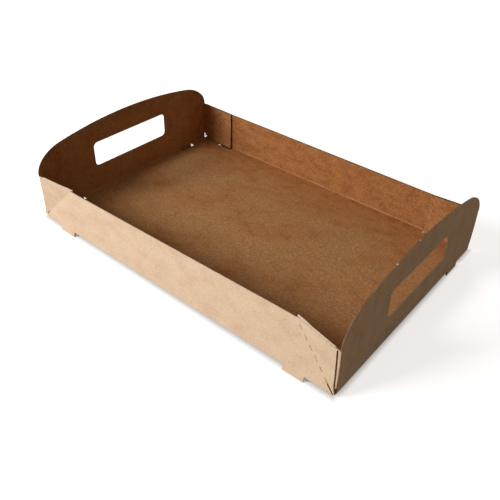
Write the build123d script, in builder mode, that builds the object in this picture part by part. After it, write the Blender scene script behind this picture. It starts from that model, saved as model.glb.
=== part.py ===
"""Cardboard serving tray, folded from one die-cut sheet of solid kraft board.

The blank is one piece: a base, two low long walls, two arched end walls with a hand
hole, and a glue flap on each side of each end wall. X runs along the tray, Y across
it with the front wall at -Y, and Z up. The origin is on the table, in the middle.
"""

from build123d import *

import os

from math import cos, radians, sin

os.makedirs("parts", exist_ok=True)

# Sheet and base, outside sizes
board = 1.0
length = 350.0
width = 237.0
corner_notch = 3.0

# Long walls, which spring inwards about their base creases; leans are in degrees
wall_height = 45.0
front_lean = 9.0
back_lean = 5.0

# Corner webs: the ends of the long walls, beyond their perforated diagonal creases
diagonal_run = 44.5
web_cut_back = 3.6
web_toe_cut_back = 2.4
web_toe_height = 10.5
web_lift = 1.5
relief_length = 11.0
relief_width = 1.1
perforation_count = 6
perforation_length = 4.6
perforation_width = 0.5
perforation_pitch = 8.5
perforation_start = 13.7

# End walls: corners a little above the long walls, and a crown arc between two shoulders
end_lean = 1.0
corner_rise = 0.5
crown_rise = 34.0
shoulder_run = 42.0
shoulder_rise = 27.0
shoulder_sweep = 75.0

# Hand holes
handle_width = 100.0
handle_height = 26.5
handle_sill = 28.3
handle_radius = 5.0

# Glue flaps, stuck behind the corner webs by a patch of glue that stops short of the web's
# edges, and lapping past the heads of the diagonal creases
flap_overlap = 1.0
flap_lift = 1.5
flap_tip_rise = 0.5
flap_heel_run = 8.0
flap_heel_rise = 7.0
glue_line = 0.35
glue_margin = 4.0

# Feet, cut out of the base and left standing below it in line with the walls
foot_width = 20.0
foot_offset = 27.0
foot_height = 4.7
foot_radius = 1.0
foot_slit = 0.5

# Worked out from the sizes above
half_length = length / 2
half_width = width / 2
half_end = half_width - board - glue_line
floor_top = foot_height + board
corner_height = wall_height + corner_rise
crown_height = corner_height + crown_rise
flap_width = diagonal_run + flap_overlap
foot_along = half_length - foot_offset - foot_width / 2
foot_across = half_width - foot_offset - foot_width / 2
slot_width = foot_width + 2 * foot_slit
slot_reach = foot_height + board
walls = [(-1, front_lean), (1, back_lean)]
ends = [-1, 1]
flat_foot = (1, -1)


def face_frame(crease, up, out):
    """Plane on a panel's outer face: y up the panel from below its crease, z inwards."""
    inner = out * -1
    return Plane(crease + out * board - up * board, x_dir=up.cross(inner), z_dir=inner)


def wall_crease(side):
    return Vector(0, side * (half_width - board), floor_top)


def wall_frame(side, lean):
    up = Vector(0, -side * sin(radians(lean)), cos(radians(lean)))
    out = Vector(0, side * cos(radians(lean)), sin(radians(lean)))
    return face_frame(wall_crease(side), up, out)


def end_crease(end):
    return Vector(end * (half_length - board), 0, floor_top)


def end_frame(end):
    up = Vector(-end * sin(radians(end_lean)), 0, cos(radians(end_lean)))
    out = Vector(end * cos(radians(end_lean)), 0, sin(radians(end_lean)))
    return face_frame(end_crease(end), up, out)


def corner_point(end, side, lean):
    return wall_frame(side, lean).origin + Vector(end * half_length, 0, 0)


def diagonal_reach(end, side, lean):
    """The diagonal crease, from the corner to the wall's top edge."""
    return wall_frame(side, lean).y_dir * wall_height - Vector(end * diagonal_run, 0, 0)


def corner_frame(end, side, lean, depth):
    """Plane of a corner web: x from the corner towards the middle, y up the corner.

    It lies at the given depth inside the web's outer face.
    """
    up = end_frame(end).y_dir
    reach = diagonal_reach(end, side, lean)
    run = (reach - up * reach.dot(up)).normalized()
    inner = run.cross(up) * (-end * side)
    return Plane(corner_point(end, side, lean) + inner * depth, x_dir=run, z_dir=run.cross(up))


def inward(end, side):
    """Sign that turns a corner plane's normal to face the inside of the tray."""
    return -end * side


def diagonal_frame(end, side, lean):
    """Plane along a diagonal crease, x up the crease, z halfway between the two panels' normals."""
    panels = wall_frame(side, lean).z_dir + corner_frame(end, side, lean, 0).z_dir * inward(end, side)
    reach = diagonal_reach(end, side, lean)
    return Plane(corner_point(end, side, lean), x_dir=reach, z_dir=panels)


def flap_frame(end, side, lean):
    return corner_frame(end, side, lean, board + glue_line)


def flap_hinge(end, side, lean):
    """Foot of the line where the inner faces of a flap and its end wall meet."""
    start = end_crease(end)
    flap = flap_frame(end, side, lean)
    inner = flap.z_dir * inward(end, side)
    return start + Vector(0, (board - (start - flap.origin).dot(inner)) / inner.Y, 0)


def fold(start, along, first, last):
    """Section of a rounded fold, swept between the normals of the two faces that it joins."""
    with BuildSketch(Plane(start, x_dir=first, z_dir=along)) as section:
        with BuildLine():
            arc = CenterArc((0, 0), board, 0, first.get_signed_angle(last, along))
            Line((0, 0), arc @ 0)
            Line(arc @ 1, (0, 0))
        make_face()
    return section.sketch


def panel(plane, corners):
    with BuildSketch(plane) as section:
        with BuildLine():
            Polyline(*corners, close=True)
        make_face()
    return section.sketch


def wall_panel(plane):
    """Long wall between its two diagonal creases."""
    low = half_length - diagonal_run * board / wall_height
    high = half_length - diagonal_run
    return panel(plane, [(-low, board), (low, board), (high, wall_height), (-high, wall_height)])


def web_panel(plane, reach):
    """Corner web, from the diagonal crease to the edge that is cut back from the corner."""
    head_run = reach.dot(plane.x_dir)
    head_rise = reach.dot(plane.y_dir)
    toe = [
        (web_toe_cut_back * web_lift / web_toe_height, web_lift),
        (head_run * web_lift / head_rise, web_lift),
    ]
    top = [(head_run, head_rise), (web_cut_back, wall_height), (web_toe_cut_back, web_toe_height)]
    return panel(plane, toe + top)


def diagonal_cuts(plane):
    """Relief slot at the foot of a diagonal crease, and the perforations above it."""
    with BuildSketch(plane) as section:
        SlotOverall(2 * relief_length, relief_width)
        for number in range(perforation_count):
            with Locations((perforation_start + number * perforation_pitch, 0)):
                Rectangle(perforation_length, perforation_width)
    return section.sketch


def end_panel(plane, low_side, high_side):
    """End wall: straight up between the corner folds, then the shoulders and the crown."""
    centre = half_end - shoulder_run
    with BuildSketch(plane) as section:
        with BuildLine():
            right = EllipticalCenterArc(
                (centre, corner_height), shoulder_run, shoulder_rise, 0, arc_size=shoulder_sweep
            )
            left = EllipticalCenterArc(
                (-centre, corner_height), shoulder_run, shoulder_rise, 180, arc_size=-shoulder_sweep
            )
            ThreePointArc(right @ 1, (0, crown_height), left @ 1)
            Polyline(
                left @ 0,
                (low_side, corner_height),
                (low_side, board),
                (high_side, board),
                (high_side, corner_height),
                right @ 0,
            )
        make_face()
        with Locations((0, handle_sill + handle_height / 2)):
            RectangleRounded(handle_width, handle_height, handle_radius, mode=Mode.SUBTRACT)
    return section.sketch


def flap_panel(plane, reach, hinge):
    """Glue flap, with its heel cut away above the base crease."""
    start = (hinge - plane.origin).dot(plane.x_dir)
    tip = reach.dot(plane.y_dir) + flap_tip_rise
    heel = [(start, flap_heel_rise), (flap_heel_run, flap_lift)]
    free_edge = [(flap_width, flap_lift), (flap_width, tip)]
    return panel(plane, heel + free_edge + [(start, corner_height)])


def glue_patch(plane, reach):
    """Glued area of a web, a margin inside its three edges."""
    slope = reach.dot(plane.y_dir) / reach.dot(plane.x_dir)
    clear = glue_margin * reach.length / reach.dot(plane.y_dir)
    near = web_cut_back + glue_margin
    high = wall_height - glue_margin
    return panel(plane, [(near, (near + clear) * slope), (high / slope - clear, high), (near, high)])


def foot_panel(plane, along):
    """A foot below its wall, with its two lower corners rounded."""
    tip = -plane.origin.Z / plane.y_dir.Z
    with BuildSketch(plane) as section:
        with Locations((along, (tip + board) / 2)):
            Rectangle(foot_width, board - tip)
        fillet(section.vertices().group_by(Axis.Y)[0], foot_radius)
    return section.sketch


with BuildPart() as tray:
    # Base between its creases
    with BuildSketch(Plane.XY.offset(foot_height)):
        Rectangle(length - 2 * board, width - 2 * board)
    extrude(amount=board)

    # Rounded creases along the base
    down = Vector(0, 0, -1)
    for side, lean in walls:
        outer = wall_frame(side, lean).z_dir * -1
        extrude(fold(wall_crease(side), Vector(1, 0, 0), down, outer), half_length, both=True)
    for end in ends:
        outer = end_frame(end).z_dir * -1
        extrude(fold(end_crease(end), Vector(0, 1, 0), down, outer), half_end, both=True)

    # Corner notches, the slots that the feet were cut from, and the slit round the flat foot
    with BuildSketch():
        with GridLocations(length, width, 2, 2):
            Rectangle(2 * corner_notch, 2 * corner_notch)
        with GridLocations(2 * foot_along, width - 2 * board, 2, 2):
            Rectangle(slot_width, 2 * slot_reach)
        for end in ends:
            for side, lean in walls:
                with Locations((end * (half_length - board), side * foot_across)):
                    Rectangle(2 * slot_reach, slot_width)
        with Locations((flat_foot[0] * (half_length - board), flat_foot[1] * foot_across)):
            Rectangle(2 * (slot_reach - foot_slit), foot_width, mode=Mode.SUBTRACT)
            Rectangle(2 * board, slot_width, mode=Mode.SUBTRACT)
    extrude(amount=wall_height, mode=Mode.SUBTRACT)

    # Long walls
    for side, lean in walls:
        extrude(wall_panel(wall_frame(side, lean)), board)

    # Corner webs, their diagonal creases, relief slots and perforations
    for end in ends:
        for side, lean in walls:
            web = corner_frame(end, side, lean, 0)
            reach = diagonal_reach(end, side, lean)
            into = inward(end, side)
            extrude(web_panel(web, reach), board * into)
            start = web.origin + reach * (relief_length / reach.length / 2)
            crease = fold(start, reach, wall_frame(side, lean).z_dir, web.z_dir * into)
            extrude(crease, reach.length - relief_length / 2)
            extrude(diagonal_cuts(diagonal_frame(end, side, lean)), 2 * board, both=True, mode=Mode.SUBTRACT)

    # End walls
    for end in ends:
        face = end_frame(end)
        hinges = [face.to_local_coords(flap_hinge(end, side, lean)).X for side, lean in walls]
        extrude(end_panel(face, min(hinges), max(hinges)), board)

    # Corner folds and glue flaps, and the glue that holds them to the webs
    for end in ends:
        for side, lean in walls:
            flap = flap_frame(end, side, lean)
            hinge = flap_hinge(end, side, lean)
            reach = diagonal_reach(end, side, lean)
            into = inward(end, side)
            up = flap.y_dir
            start = hinge + up * (flap_heel_rise - (hinge - flap.origin).dot(up))
            crease = fold(start, up, end_frame(end).z_dir * -1, flap.z_dir * -into)
            extrude(crease, corner_height - flap_heel_rise)
            extrude(flap_panel(flap, reach, hinge), board * into)
            extrude(glue_patch(corner_frame(end, side, lean, board), reach), glue_line * into)

    # Feet
    for side, lean in walls:
        for end in ends:
            extrude(foot_panel(wall_frame(side, lean), end * foot_along), board)
    for end in ends:
        for side, lean in walls:
            if (end, side) != flat_foot:
                extrude(foot_panel(end_frame(end), inward(end, side) * foot_across), board)

    # Soles trimmed flat to the table
    with BuildSketch():
        Rectangle(2 * length, 2 * width)
    extrude(amount=-foot_height, mode=Mode.SUBTRACT)

tray.part.label = "tray"
export_step(tray.part, "parts/tray.step")
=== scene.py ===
"""Kraft board serving tray: one die-cut sheet, folded, glued at its corners and stood on its feet."""

import math

import bmesh
import bpy
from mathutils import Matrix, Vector
from mathutils.bvhtree import BVHTree


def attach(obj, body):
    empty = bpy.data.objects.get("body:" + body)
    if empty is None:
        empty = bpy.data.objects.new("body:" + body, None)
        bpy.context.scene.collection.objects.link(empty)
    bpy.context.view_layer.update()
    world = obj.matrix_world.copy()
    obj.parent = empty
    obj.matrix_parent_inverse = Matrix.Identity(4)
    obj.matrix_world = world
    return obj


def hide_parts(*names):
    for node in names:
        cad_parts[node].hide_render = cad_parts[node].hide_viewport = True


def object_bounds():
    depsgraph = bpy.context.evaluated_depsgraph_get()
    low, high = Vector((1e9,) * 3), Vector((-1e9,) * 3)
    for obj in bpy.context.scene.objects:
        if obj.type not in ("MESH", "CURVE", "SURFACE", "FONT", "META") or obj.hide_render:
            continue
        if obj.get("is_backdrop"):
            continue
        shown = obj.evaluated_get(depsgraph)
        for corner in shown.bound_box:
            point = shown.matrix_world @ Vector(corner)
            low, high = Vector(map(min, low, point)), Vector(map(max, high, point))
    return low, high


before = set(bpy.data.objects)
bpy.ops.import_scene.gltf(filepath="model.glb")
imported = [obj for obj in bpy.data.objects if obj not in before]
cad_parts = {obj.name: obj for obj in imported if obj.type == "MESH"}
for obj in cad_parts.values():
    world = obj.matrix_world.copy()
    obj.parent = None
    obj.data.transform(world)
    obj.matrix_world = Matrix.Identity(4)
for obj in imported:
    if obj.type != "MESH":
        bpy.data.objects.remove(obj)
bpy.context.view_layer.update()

# The folded blank: one sheet of solid kraft board about a millimetre thick, cut and creased
# on a die, folded up into a base, two low long walls and two arched ends, and glued at the
# corners behind its webs. The sheet is divided finely enough to bend as a real one does.
MM = 0.001
board = 1.0 * MM
base_under = 4.7 * MM
half_length = 175.0 * MM
half_width = 118.5 * MM
wall_height = 45.0 * MM
diagonal_run = 44.5 * MM
kink = half_length - diagonal_run
front_lean = math.radians(9.0)
back_lean = math.radians(5.0)
weld = 0.002 * MM
plane_slack = 0.001 * MM

blank = bmesh.new()
blank.from_mesh(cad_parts["tray"].data)
bmesh.ops.remove_doubles(blank, verts=blank.verts, dist=weld)


def slice_blank(axis, low, high, step):
    """Cuts the sheet's faces along evenly spaced planes, leaving its shape as it is."""
    normal = Vector([float(axis == i) for i in range(3)])
    for number in range(int((high - low) / step) + 1):
        everything = blank.verts[:] + blank.edges[:] + blank.faces[:]
        place = normal * (low + step * number)
        bmesh.ops.bisect_plane(blank, geom=everything, plane_co=place, plane_no=normal, dist=plane_slack)


# axis, first plane, last plane and spacing in millimetres
for axis, low, high, step in ((0, -168, 169, 12), (1, -110.3, 111, 13), (2, 9.3, 82, 6)):
    slice_blank(axis, low * MM, high * MM, step * MM)
# two more planes for each nick on the right arch; the step falls short so that both are cut
nick_half = 0.65 * MM
nick_step = 1.99 * nick_half
nick_places = (-44.4 * MM, -8.7 * MM)
for nick in nick_places:
    slice_blank(1, nick - nick_half, nick + nick_half, nick_step)

# Liners and cut edges: a pale liner outside, a deeper brown one inside, and the core at each
# die-cut edge. The right end's edges carry a painted brown shade, but for two pale nicks where
# the blank held to its waste, and those of the left end and the back a deeper painted shade.
OUTSIDE, INSIDE, CUT_EDGE, DEEP_SHADE_EDGE, RIGHT_SHADE_EDGE = range(5)
skin = 0.01 * MM
one_board, flap_and_web = 1.45 * board, 2.6 * board
facing_across = 0.9
end_zone, back_zone, nick_height = 5 * MM, 14 * MM, 70 * MM
middle = Vector((0, 0, 30 * MM))
blank.normal_update()
solid_board = BVHTree.FromBMesh(blank)
for face in blank.faces:
    centre = face.calc_center_median()
    # a liner has one board behind it, or two where a flap is glued to a web
    _, _, _, depth = solid_board.ray_cast(centre - face.normal * skin, -face.normal)
    thickest_sheet = flap_and_web if abs(face.normal.y) > facing_across else one_board
    on_nick = centre.z > nick_height and any(abs(centre.y - nick) < nick_half for nick in nick_places)
    if depth is not None and depth < thickest_sheet:
        face.material_index = INSIDE if face.normal.dot(middle - centre) > 0 else OUTSIDE
    # painted shade: the right end's cut edges take a shaded brown, those of the left end and the back a
    # deep shade
    elif centre.x > half_length - end_zone and not on_nick:
        face.material_index = RIGHT_SHADE_EDGE
    elif centre.x < -half_length + end_zone or centre.y > half_width - back_zone:
        face.material_index = DEEP_SHADE_EDGE
    else:
        face.material_index = CUT_EDGE

# The sheet's own map: each panel is laid back down in the flat blank, in metres, so that the
# board's grain turns with every fold. The glue flaps lay beside the ends in the blank, so
# their grain stands across the walls'.
flap_overrun = 1.2 * MM
behind_wall = 1.3 * board
base_top = base_under + 1.05 * board
flat_enough = 0.7


def near_wall(centre):
    """The long side that a place is on, and whether it is on that side's glue flaps."""
    side = 1 if centre.y > 0 else -1
    lean = front_lean if side < 0 else back_lean
    inset = half_width - side * centre.y - math.tan(lean) * (centre.z - base_under)
    return side, abs(centre.x) > kink - flap_overrun and inset > behind_wall


grain = blank.loops.layers.uv.new("sheet")
for face in blank.faces:
    centre = face.calc_center_median()
    end = 1 if centre.x > 0 else -1
    side, on_flap = near_wall(centre)
    for loop in face.loops:
        x, y, z = loop.vert.co
        up = z - base_under
        if centre.z < base_top and abs(face.normal.z) > flat_enough:
            place = (x, y)
        elif abs(face.normal.x) > flat_enough:
            place = (end * (half_length + up), y)
        elif on_flap:
            place = (end * (half_length + up), side * (half_width + half_length - abs(x)))
        else:
            place = (x, side * (half_width + up))
        loop[grain].uv = place

# Spring of the board: the long walls twist a little about their creases, and the right end
# curls in at its crown. The webs and flaps turn softly with the heads of their diagonal
# creases, and each flap stands off its web at the top.
front_spring = (math.radians(-3.6), math.radians(3.3))
back_spring = (math.radians(-3.5), math.radians(-0.4))
sprung_zone = 20 * MM
half_board = 0.5 * board
end_rise = 75.0 * MM
end_depth = 2 * MM
right_curl, right_ease, left_ease = 4.7 * MM, 2.6 * MM, 1.2 * MM
soft_fold = 14.0 * MM
flap_gape = 0.65 * MM
hinge_run = 12.0 * MM
flap_foot = base_under + 1.2 * board
flap_points = set()
for face in blank.faces:
    centre = face.calc_center_median()
    _, on_flap = near_wall(centre)
    if on_flap and abs(centre.x) < half_length - end_depth and centre.z > flap_foot:
        flap_points.update(face.verts)
for point in blank.verts:
    x, y, z = point.co
    up = max(0.0, z - base_under - half_board)
    side = 1 if y > 0 else -1
    left, right = front_spring if side < 0 else back_spring
    along = min(1.0, max(0.0, (x + kink) / (2 * kink)))
    spring = math.tan(left + (right - left) * along)
    from_corner = max(0.0, half_length - abs(x)) / diagonal_run * wall_height
    if abs(y) > half_width - sprung_zone and up > 0:
        if point in flap_points:
            turned = min(from_corner, wall_height)
            off_web = min(1.0, (half_length - abs(x)) / hinge_run) * (up / wall_height) ** 2
            point.co.y -= side * flap_gape * off_web
        else:
            softness = max(0.0, soft_fold - abs(up - from_corner)) / soft_fold
            turned = max(0.0, min(up, from_corner) - softness * softness * soft_fold / 4)
        point.co.y -= side * spring * turned
    near_end = min(1.0, max(0.0, (abs(x) - kink) / (diagonal_run - end_depth)))
    rise = up / end_rise
    if x > 0:
        point.co.x -= near_end * (right_curl * rise * rise - right_ease * rise)
    else:
        point.co.x -= near_end * left_ease * rise

# Slits of the base: folding has drawn the foot slits and the corner notches nearly shut.
# Each of their edges moves along its fold, by about a millimetre at the most.
foot_from_end = 27.0 * MM
foot_width = 20.0 * MM
foot_slit = 0.5 * MM
slot_depth = 8 * MM
slit_draw = 0.36 * MM
notch = 3.0 * MM
notch_draw_x, notch_draw_y = 1.2 * MM, 0.55 * MM
near = 0.08 * MM
above_base = base_under + 1.3 * board
for point in blank.verts:
    x, y, z = point.co
    if z > above_base:
        continue
    from_end, from_side = half_length - abs(x), half_width - abs(y)
    for along, off, axis in ((from_end, from_side, 0), (from_side, from_end, 1)):
        outer_edge = abs(along - foot_from_end + foot_slit) < near
        inner_edge = abs(along - foot_from_end - foot_width - foot_slit) < near
        if off < slot_depth and (outer_edge or inner_edge):
            draw = -slit_draw if outer_edge else slit_draw
            point.co[axis] += math.copysign(draw, point.co[axis])
    if abs(from_end - notch) < near and from_side < notch + near:
        point.co.x += math.copysign(notch_draw_x, x)
    if abs(from_side - notch) < near and from_end < notch + near:
        point.co.y += math.copysign(notch_draw_y, y)

# Perforations of the front corners: their edges move square to the diagonal crease. Those on
# the left are closed and those on the right gape a little. The relief slot at the foot of
# the right crease gapes the most.
front_zone = 14 * MM
closed_gap = 0.03 * MM
crease_inset = 0.12 * MM
slit_foot, slit_half = 3.0 * MM, 0.62 * MM
relief_reach, relief_gape, perforation_gape = 11.5 * MM, 0.6 * MM, 0.14 * MM
diagonal_slope = math.hypot(diagonal_run, wall_height)
for point in blank.verts:
    x, y, z = point.co
    if y > -half_width + front_zone or abs(x) < kink:
        continue
    from_end, up = half_length - abs(x), (z - base_under) / math.cos(front_lean)
    off_crease = (from_end * wall_height - up * diagonal_run) / diagonal_slope + crease_inset
    up_crease = (from_end * diagonal_run + up * wall_height) / diagonal_slope
    if abs(off_crease) >= slit_half or up_crease <= slit_foot:
        continue
    if x < 0:
        shift = math.copysign(closed_gap, off_crease) - off_crease
    else:
        gape = relief_gape if up_crease < relief_reach else perforation_gape
        shift = math.copysign(gape, off_crease)
    point.co.x -= math.copysign(shift * wall_height / diagonal_slope, x)
    point.co.z -= shift * diagonal_run / diagonal_slope

# Creasing beads: pressing the board into its crease raises a soft bead of stretched fibres
# inside each fold of the base. It breaks off at the slots that the feet were cut from, and
# it is part of the sheet, so it is joined to the blank.
BEAD = 5
bead_radius = 0.42 * MM
bead_rise = 0.1 * MM
bead_from_end = 4.0 * MM
bead_sides = 10
slot_ease = 0.6 * MM


def bead_runs(half_run):
    """The stretches of a fold between its corner notches and its two foot slots."""
    outer = half_run - foot_from_end + slot_ease
    inner = half_run - foot_from_end - foot_width - slot_ease
    stop = half_run - bead_from_end
    return [(-stop, -outer), (-inner, inner), (outer, stop)]


fold_points = []
fold_height = base_under + board + bead_rise
for side in (-1, 1):
    fold_y = side * (half_width - board - bead_rise)
    for low, high in bead_runs(half_length):
        fold_points += [(low, fold_y, fold_height), (high, fold_y, fold_height)]
    fold_x = side * (half_length - board - bead_rise)
    for low, high in bead_runs(half_width):
        fold_points += [(fold_x, low, fold_height), (fold_x, high, fold_height)]
fold_lines = bpy.data.meshes.new("fold_lines")
fold_lines.from_pydata(fold_points, [(n, n + 1) for n in range(0, len(fold_points), 2)], [])
beads = bpy.data.objects.new("crease_beads", fold_lines)
bpy.context.collection.objects.link(beads)

bead_tree = bpy.data.node_groups.new("crease_bead", "GeometryNodeTree")
add_socket = bead_tree.interface.new_socket
add_socket("Geometry", in_out="INPUT", socket_type="NodeSocketGeometry")
radius_socket = add_socket("Bead Radius", in_out="INPUT", socket_type="NodeSocketFloat")
finish_socket = add_socket("Finish", in_out="INPUT", socket_type="NodeSocketMaterial")
add_socket("Geometry", in_out="OUTPUT", socket_type="NodeSocketGeometry")
bead_in = bead_tree.nodes.new("NodeGroupInput")
bead_out = bead_tree.nodes.new("NodeGroupOutput")
to_curve = bead_tree.nodes.new("GeometryNodeMeshToCurve")
round_section = bead_tree.nodes.new("GeometryNodeCurvePrimitiveCircle")
round_section.inputs["Resolution"].default_value = bead_sides
sweep = bead_tree.nodes.new("GeometryNodeCurveToMesh")
sweep.inputs["Fill Caps"].default_value = True
realize = bead_tree.nodes.new("GeometryNodeRealizeInstances")
set_finish = bead_tree.nodes.new("GeometryNodeSetMaterial")
for given, taken in (
    (bead_in.outputs["Geometry"], to_curve.inputs["Mesh"]),
    (bead_in.outputs["Bead Radius"], round_section.inputs["Radius"]),
    (to_curve.outputs["Curve"], sweep.inputs["Curve"]),
    (round_section.outputs["Curve"], sweep.inputs["Profile Curve"]),
    (sweep.outputs["Mesh"], realize.inputs["Geometry"]),
    (realize.outputs["Geometry"], set_finish.inputs["Geometry"]),
    (bead_in.outputs["Finish"], set_finish.inputs["Material"]),
    (set_finish.outputs["Geometry"], bead_out.inputs["Geometry"]),
):
    bead_tree.links.new(given, taken)
bead_finish = bpy.data.materials.new("crease_bead")
bead_maker = beads.modifiers.new("bead", "NODES")
bead_maker.node_group = bead_tree
bead_maker[radius_socket.identifier] = bead_radius
bead_maker[finish_socket.identifier] = bead_finish
bpy.context.view_layer.update()
evaluated = beads.evaluated_get(bpy.context.evaluated_depsgraph_get())
bead_mesh = bpy.data.meshes.new_from_object(evaluated)
bead_start = len(blank.faces)
blank.from_mesh(bead_mesh)
blank.faces.ensure_lookup_table()
for face in blank.faces[bead_start:]:
    face.material_index = BEAD
    for loop in face.loops:
        loop[grain].uv = (loop.vert.co.x, loop.vert.co.y)
bpy.data.objects.remove(beads)

# The finished sheet: the folded blank and its beads are one mesh. Its curved faces are
# shaded smooth, and its folds and cut edges stay sharp.
sharp_fold = math.radians(24)
tray_mesh = bpy.data.meshes.new("folded_blank")
blank.to_mesh(tray_mesh)
blank.free()
tray = bpy.data.objects.new("folded_blank", tray_mesh)
bpy.context.collection.objects.link(tray)
for polygon in tray_mesh.polygons:
    polygon.use_smooth = True
tray_mesh.set_sharp_from_angle(angle=sharp_fold)
even = tray.modifiers.new("even_faces", "WEIGHTED_NORMAL")
even.keep_sharp = True

# Kraft paper: long unbleached fibres laid at random angles, cloudy where the pulp is
# thicker, with a scatter of darker shives and paler hairs. Both liners are made so, the
# outside one calendered pale and the inside one left a deeper brown.
tooth_height = 0.06 * MM
# how far from the long walls the pale patches fade out, a painted shade of the walls
wall_shade_run = 50 * MM
fade = 1 * MM


def kraft_finish(material, shades, cloud_mm, hair_mm, hair_amount, shive_amount, tooth, rub_and_sheen=None):
    """Fills a material with kraft paper; shades are its thin, usual, thick, shive and hair colours.

    Where a rub-and-sheen colour is given, the base and the ends are paled towards it in patches,
    part real wear and part painted sheen, which fade out near the long walls as painted shade;
    the glue flaps are streaked paler.
    """
    thin, usual, thick, shive, hair = shades
    material.use_nodes = True
    nodes, links = material.node_tree.nodes, material.node_tree.links
    nodes.clear()
    sheet_map = nodes.new("ShaderNodeUVMap")
    sheet_map.uv_map = "sheet"

    def laid(angle, along_mm, across_mm, detail, offset):
        """Noise whose marks have this length and width, turned on the sheet."""
        place = nodes.new("ShaderNodeMapping")
        place.vector_type = "TEXTURE"
        place.inputs["Rotation"].default_value = (0, 0, math.radians(angle))
        place.inputs["Scale"].default_value = (along_mm * MM, across_mm * MM, MM)
        place.inputs["Location"].default_value = (offset * MM, -offset * MM, 0)
        noise = nodes.new("ShaderNodeTexNoise")
        noise.inputs["Scale"].default_value = 1.0
        noise.inputs["Detail"].default_value = detail
        links.new(sheet_map.outputs["UV"], place.inputs["Vector"])
        links.new(place.outputs["Vector"], noise.inputs["Vector"])
        return noise.outputs["Fac"]

    def window(value, low, high):
        """A mask that is 0 at low and 1 at high."""
        ramp = nodes.new("ShaderNodeMapRange")
        ramp.interpolation_type = "SMOOTHSTEP"
        ramp.inputs["From Min"].default_value = low
        ramp.inputs["From Max"].default_value = high
        links.new(value, ramp.inputs["Value"])
        return ramp.outputs["Result"]

    def both(first, second):
        """A mask that is high only where two masks are."""
        product = nodes.new("ShaderNodeMath")
        product.operation = "MULTIPLY"
        links.new(first, product.inputs[0])
        links.new(second, product.inputs[1])
        return product.outputs[0]

    def from_middle(axis):
        """The distance from the middle of the sheet along its X or Y."""
        apart = nodes.new("ShaderNodeSeparateXYZ")
        distance = nodes.new("ShaderNodeMath")
        distance.operation = "ABSOLUTE"
        links.new(sheet_map.outputs["UV"], apart.inputs[0])
        links.new(apart.outputs[axis], distance.inputs[0])
        return distance.outputs[0]

    def tinted(colour, mask, tint, strength):
        """A colour taken towards a tint where the mask is high."""
        amount = nodes.new("ShaderNodeMath")
        amount.operation = "MULTIPLY"
        amount.inputs[1].default_value = strength
        links.new(mask, amount.inputs[0])
        blend = nodes.new("ShaderNodeMix")
        blend.data_type = "RGBA"
        links.new(amount.outputs[0], blend.inputs["Factor"])
        if isinstance(colour, tuple):
            blend.inputs["A"].default_value = (*colour, 1)
        else:
            links.new(colour, blend.inputs["A"])
        blend.inputs["B"].default_value = (*tint, 1)
        return blend.outputs["Result"]

    # each mark's angle, length and width in millimetres, detail, and place on the sheet
    cloud = laid(0, cloud_mm * 1.6, cloud_mm, 4.0, 0)
    curdle = laid(20, cloud_mm * 0.22, cloud_mm * 0.16, 3.0, 31)
    clump = laid(-35, cloud_mm * 0.2, cloud_mm * 0.13, 2.0, 77)
    fleck = laid(-28, 2.4, 0.9, 1.5, 113)
    speck = laid(15, 1.8, 0.8, 1.0, 97)
    strands = [
        laid(angle, hair_mm, hair_mm * 0.09, 1.0, offset)
        for angle, offset in ((8, 5), (52, 19), (-47, 43), (-80, 61))
    ]
    # noise, where its mask begins, where it is full, tint, strength
    layers = [
        (cloud, 0.36, 0.52, usual, 1.0),
        (cloud, 0.50, 0.68, thick, 1.0),
        (curdle, 0.50, 0.70, thick, 0.55),
        (clump, 0.52, 0.72, thin, 0.5),
    ]
    for strand in strands:
        layers += [(strand, 0.66, 0.74, hair, hair_amount), (strand, 0.34, 0.26, shive, shive_amount)]
    layers += [
        (fleck, 0.54, 0.70, hair, hair_amount * 1.4),
        (speck, 0.60, 0.74, shive, shive_amount * 1.6),
    ]
    colour = thin
    for noise, low, high, tint, strength in layers:
        colour = tinted(colour, window(noise, low, high), tint, strength)

    if rub_and_sheen:
        from_side, from_end = from_middle("Y"), from_middle("X")
        past_side = window(from_side, half_width, half_width + fade)
        past_end = window(from_end, half_length, half_length + fade)
        # painted shade: the pale patches fade out within 50 mm of the long walls, leaving the floor
        # darker there
        clear_of_wall_shade = window(from_side, half_width, half_width - wall_shade_run)
        wear_and_sheen = both(window(laid(35, 60, 40, 3.0, 7), 0.25, 0.62), clear_of_wall_shade)
        streak = window(laid(50, 9.0, 2.4, 2.0, 201), 0.40, 0.62)
        colour = tinted(colour, both(both(past_side, past_end), streak), hair, 0.30)
        # part real wear, part painted sheen: the patches are paled towards the given colour
        colour = tinted(colour, wear_and_sheen, rub_and_sheen, 0.55)
        for angle, offset in ((40, 131), (-20, 149)):
            fuzz = window(laid(angle, 3.2, 1.3, 2.0, offset), 0.52, 0.66)
            colour = tinted(colour, both(wear_and_sheen, fuzz), hair, 0.46)
        for angle, offset in ((64, 167), (-15, 181)):
            scratch = window(laid(angle, 26.0, 0.8, 1.5, offset), 0.70, 0.75)
            colour = tinted(colour, scratch, hair, 0.45)

    result = nodes.new("ShaderNodeOutputMaterial")
    paper = nodes.new("ShaderNodeBsdfPrincipled")
    paper.inputs["Specular IOR Level"].default_value = 0.12
    shine = nodes.new("ShaderNodeMapRange")
    shine.inputs["To Min"].default_value = 0.68
    shine.inputs["To Max"].default_value = 0.86
    relief = nodes.new("ShaderNodeBump")
    relief.inputs["Strength"].default_value = tooth
    relief.inputs["Distance"].default_value = tooth_height
    links.new(colour, paper.inputs["Base Color"])
    links.new(cloud, shine.inputs["Value"])
    links.new(shine.outputs["Result"], paper.inputs["Roughness"])
    links.new(curdle, relief.inputs["Height"])
    links.new(relief.outputs["Normal"], paper.inputs["Normal"])
    links.new(paper.outputs["BSDF"], result.inputs["Surface"])


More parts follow.
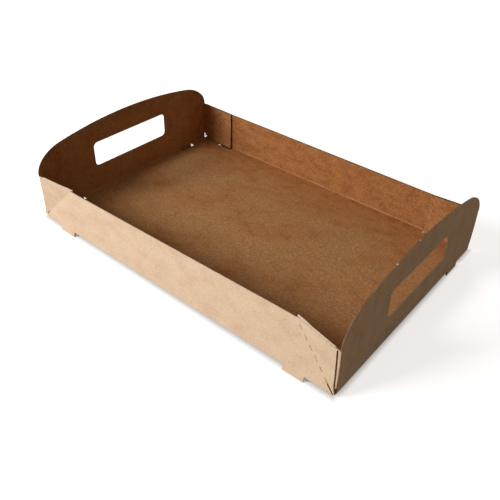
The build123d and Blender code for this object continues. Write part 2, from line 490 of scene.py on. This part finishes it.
outside_liner = bpy.data.materials.new("kraft_outside")
outside_shades = (
    (0.80, 0.60, 0.425),
    (0.77, 0.565, 0.395),
    (0.71, 0.505, 0.34),
    (0.48, 0.30, 0.17),
    (0.88, 0.72, 0.56),
)
kraft_finish(
    outside_liner,
    outside_shades,
    cloud_mm=12.0,
    hair_mm=5.0,
    hair_amount=0.42,
    shive_amount=0.32,
    tooth=0.35,
)

inside_liner = bpy.data.materials.new("kraft_inside")
inside_shades = (
    (0.385, 0.156, 0.051),
    (0.335, 0.130, 0.041),
    (0.27, 0.098, 0.029),
    (0.16, 0.056, 0.018),
    (0.60, 0.345, 0.16),
)
# pale patches of the inside liner: part real wear, part painted sheen
inside_rub_and_sheen = (0.365, 0.202, 0.088)
kraft_finish(
    inside_liner,
    inside_shades,
    cloud_mm=9.0,
    hair_mm=6.0,
    hair_amount=0.40,
    shive_amount=0.40,
    tooth=0.6,
    rub_and_sheen=inside_rub_and_sheen,
)

# Edges and beads: a cut edge shows the same pulp without its liner, pale, and its palest
# shades are raised further as a painted highlight on the lit edges. The darker edge finishes
# are painted shade. The stretched fibres of the creases are paler than the inside liner that
# they are part of.
# painted highlight: the core is made paler than the pulp alone, for the light caught along the lit edges
core_and_highlight = bpy.data.materials.new("kraft_core_and_highlight")
core_and_highlight_colours = (
    (0.92, 0.80, 0.65),
    (0.90, 0.76, 0.60),
    (0.78, 0.60, 0.44),
    (0.60, 0.42, 0.27),
    (0.93, 0.82, 0.68),
)
kraft_finish(
    core_and_highlight, core_and_highlight_colours, cloud_mm=5.0, hair_mm=3.0, hair_amount=0.5, shive_amount=0.4, tooth=0.8
)

# painted shade for the right end's cut edges: a brown, lighter than the deep shade of the left end and
# the back
right_shade_edge = bpy.data.materials.new("kraft_right_shade_edge")
right_shade_colours = (
    (0.24, 0.150, 0.085),
    (0.19, 0.115, 0.062),
    (0.15, 0.088, 0.046),
    (0.10, 0.055, 0.027),
    (0.36, 0.24, 0.14),
)
kraft_finish(
    right_shade_edge, right_shade_colours, cloud_mm=5.0, hair_mm=3.0, hair_amount=0.4, shive_amount=0.4, tooth=0.8
)

# painted deep shade for the cut edges of the left end and the back
deep_shade_edge = bpy.data.materials.new("kraft_deep_shade_edge")
deep_shade_colours = (
    (0.060, 0.030, 0.014),
    (0.040, 0.019, 0.009),
    (0.030, 0.014, 0.007),
    (0.024, 0.010, 0.005),
    (0.12, 0.06, 0.03),
)
kraft_finish(
    deep_shade_edge, deep_shade_colours, cloud_mm=5.0, hair_mm=3.0, hair_amount=0.3, shive_amount=0.4, tooth=0.8
)

bead_shades = (
    (0.50, 0.27, 0.13),
    (0.46, 0.24, 0.11),
    (0.38, 0.18, 0.075),
    (0.26, 0.11, 0.045),
    (0.62, 0.40, 0.23),
)
kraft_finish(
    bead_finish, bead_shades, cloud_mm=6.0, hair_mm=3.0, hair_amount=0.5, shive_amount=0.3, tooth=0.6
)
for finish in (outside_liner, inside_liner, core_and_highlight, deep_shade_edge, right_shade_edge, bead_finish):
    tray_mesh.materials.append(finish)

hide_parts("tray")
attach(tray, "root")

# The table: a wide sweep of pale card, which keeps the tray's soft shadow. It shows bright
# outside the tray's outline, where its glow for the camera fades in over a band along the
# outline as a painted contact shadow, and it throws little light back under the tray.
reach = 6.0
shadow_shift = (3 * MM, -3 * MM, 0)
shadow_inside, shadow_outside = 3 * MM, 6 * MM
card_lift = 0.74
table = bpy.data.objects.new("table", bpy.data.meshes.new("table"))
table.data.from_pydata(
    [(-reach, -reach, 0), (reach, -reach, 0), (reach, reach, 0), (-reach, reach, 0)], [], [(0, 1, 2, 3)]
)
bpy.context.collection.objects.link(table)


def seen_or_shone(nodes, links):
    """1 for what the camera or a reflection sees, 0 for the light cast on other things."""
    ray = nodes.new("ShaderNodeLightPath")
    greater = nodes.new("ShaderNodeMath")
    greater.operation = "MAXIMUM"
    links.new(ray.outputs["Is Camera Ray"], greater.inputs[0])
    links.new(ray.outputs["Is Glossy Ray"], greater.inputs[1])
    return greater.outputs[0]


card = bpy.data.materials.new("sweep_card")
card.use_nodes = True
nodes, links = card.node_tree.nodes, card.node_tree.links
nodes.clear()
bounce = nodes.new("ShaderNodeBsdfDiffuse")
bounce.inputs["Color"].default_value = (0.12, 0.09, 0.06, 1)
shown = nodes.new("ShaderNodeBsdfDiffuse")
shown.inputs["Color"].default_value = (0.62, 0.62, 0.62, 1)
lift = nodes.new("ShaderNodeEmission")
lift.inputs["Color"].default_value = (1, 1, 1, 1)
place = nodes.new("ShaderNodeTexCoord")
shifted = nodes.new("ShaderNodeVectorMath")
shifted.operation = "ADD"
shifted.inputs[1].default_value = shadow_shift
apart = nodes.new("ShaderNodeSeparateXYZ")
links.new(place.outputs["Object"], shifted.inputs[0])
links.new(shifted.outputs["Vector"], apart.inputs[0])
clear = nodes.new("ShaderNodeMath")
clear.operation = "MAXIMUM"
# painted contact shadow: the camera glow fades out over a band along the tray's outline, set a little
# towards the back and the left
for axis, half_side, number in (("X", half_length, 0), ("Y", half_width, 1)):
    off_middle = nodes.new("ShaderNodeMath")
    off_middle.operation = "ABSOLUTE"
    links.new(apart.outputs[axis], off_middle.inputs[0])
    beyond = nodes.new("ShaderNodeMapRange")
    beyond.inputs["From Min"].default_value = half_side - shadow_inside
    beyond.inputs["From Max"].default_value = half_side + shadow_outside
    beyond.inputs["To Max"].default_value = card_lift
    links.new(off_middle.outputs[0], beyond.inputs["Value"])
    links.new(beyond.outputs["Result"], clear.inputs[number])
links.new(clear.outputs[0], lift.inputs["Strength"])
bright = nodes.new("ShaderNodeAddShader")
links.new(shown.outputs["BSDF"], bright.inputs[0])
links.new(lift.outputs["Emission"], bright.inputs[1])
either = nodes.new("ShaderNodeMixShader")
links.new(seen_or_shone(nodes, links), either.inputs["Fac"])
links.new(bounce.outputs["BSDF"], either.inputs[1])
links.new(bright.outputs["Shader"], either.inputs[2])
result = nodes.new("ShaderNodeOutputMaterial")
links.new(either.outputs["Shader"], result.inputs["Surface"])
table.data.materials.append(card)
table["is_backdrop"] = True

# Studio light: one large soft lamp in front and to the left, a weaker one low behind the
# back wall, and a low warm fill from the room. The room behind the table shows white.
key_way, back_way = Vector((-0.40, -0.70, 0.48)), Vector((-0.50, 0.84, 0.12))
# name, side in metres, watts, way to the lamp, metres away
lamps = (("key", 0.65, 28.2, key_way, 1.7), ("back", 0.8, 16.0, back_way, 2.0))
for name, lamp_side, watts, way, away in lamps:
    lamp_data = bpy.data.lights.new(name, "AREA")
    lamp_data.shape = "SQUARE"
    lamp_data.size = lamp_side
    lamp_data.energy = watts
    lamp = bpy.data.objects.new(name, lamp_data)
    lamp.location = way.normalized() * away
    lamp.rotation_euler = (-way.normalized()).to_track_quat("-Z", "Y").to_euler()
    bpy.context.collection.objects.link(lamp)

room = bpy.data.worlds.new("room")
bpy.context.scene.world = room
room.use_nodes = True
nodes, links = room.node_tree.nodes, room.node_tree.links
nodes.clear()
fill = nodes.new("ShaderNodeBackground")
fill.inputs["Color"].default_value = (1.0, 0.80, 0.58, 1)
fill.inputs["Strength"].default_value = 0.21
white = nodes.new("ShaderNodeBackground")
white.inputs["Color"].default_value = (1, 1, 1, 1)
white.inputs["Strength"].default_value = 1.0
choice = nodes.new("ShaderNodeMixShader")
links.new(seen_or_shone(nodes, links), choice.inputs["Fac"])
links.new(fill.outputs["Background"], choice.inputs[1])
links.new(white.outputs["Background"], choice.inputs[2])
result = nodes.new("ShaderNodeOutputWorld")
links.new(choice.outputs["Shader"], result.inputs["Surface"])

# The camera stands above the front right corner and looks down across the tray.
# Its heading is measured from +X, its dip from level, and its tilt is a small roll.
camera_data = bpy.data.cameras.new("camera")
camera_data.sensor_width = 36.0
camera_data.lens = 42.69
camera = bpy.data.objects.new("camera", camera_data)
camera.location = (0.29704, -0.37618, 0.35119)
heading, dip, tilt = math.radians(128.50), math.radians(-37.64), math.radians(2.04)
ahead = Vector((math.cos(dip) * math.cos(heading), math.cos(dip) * math.sin(heading), math.sin(dip)))
across = ahead.cross(Vector((0, 0, 1))).normalized()
upward = across.cross(ahead)
right = across * math.cos(tilt) + upward * math.sin(tilt)
top = upward * math.cos(tilt) - across * math.sin(tilt)
turn = camera.matrix_world.to_3x3()
turn.col[0], turn.col[1], turn.col[2] = right, top, -ahead
camera.rotation_euler = turn.to_euler()
bpy.context.collection.objects.link(camera)
bpy.context.scene.camera = camera

bpy.context.scene.view_settings.view_transform = "Standard"
low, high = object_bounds()
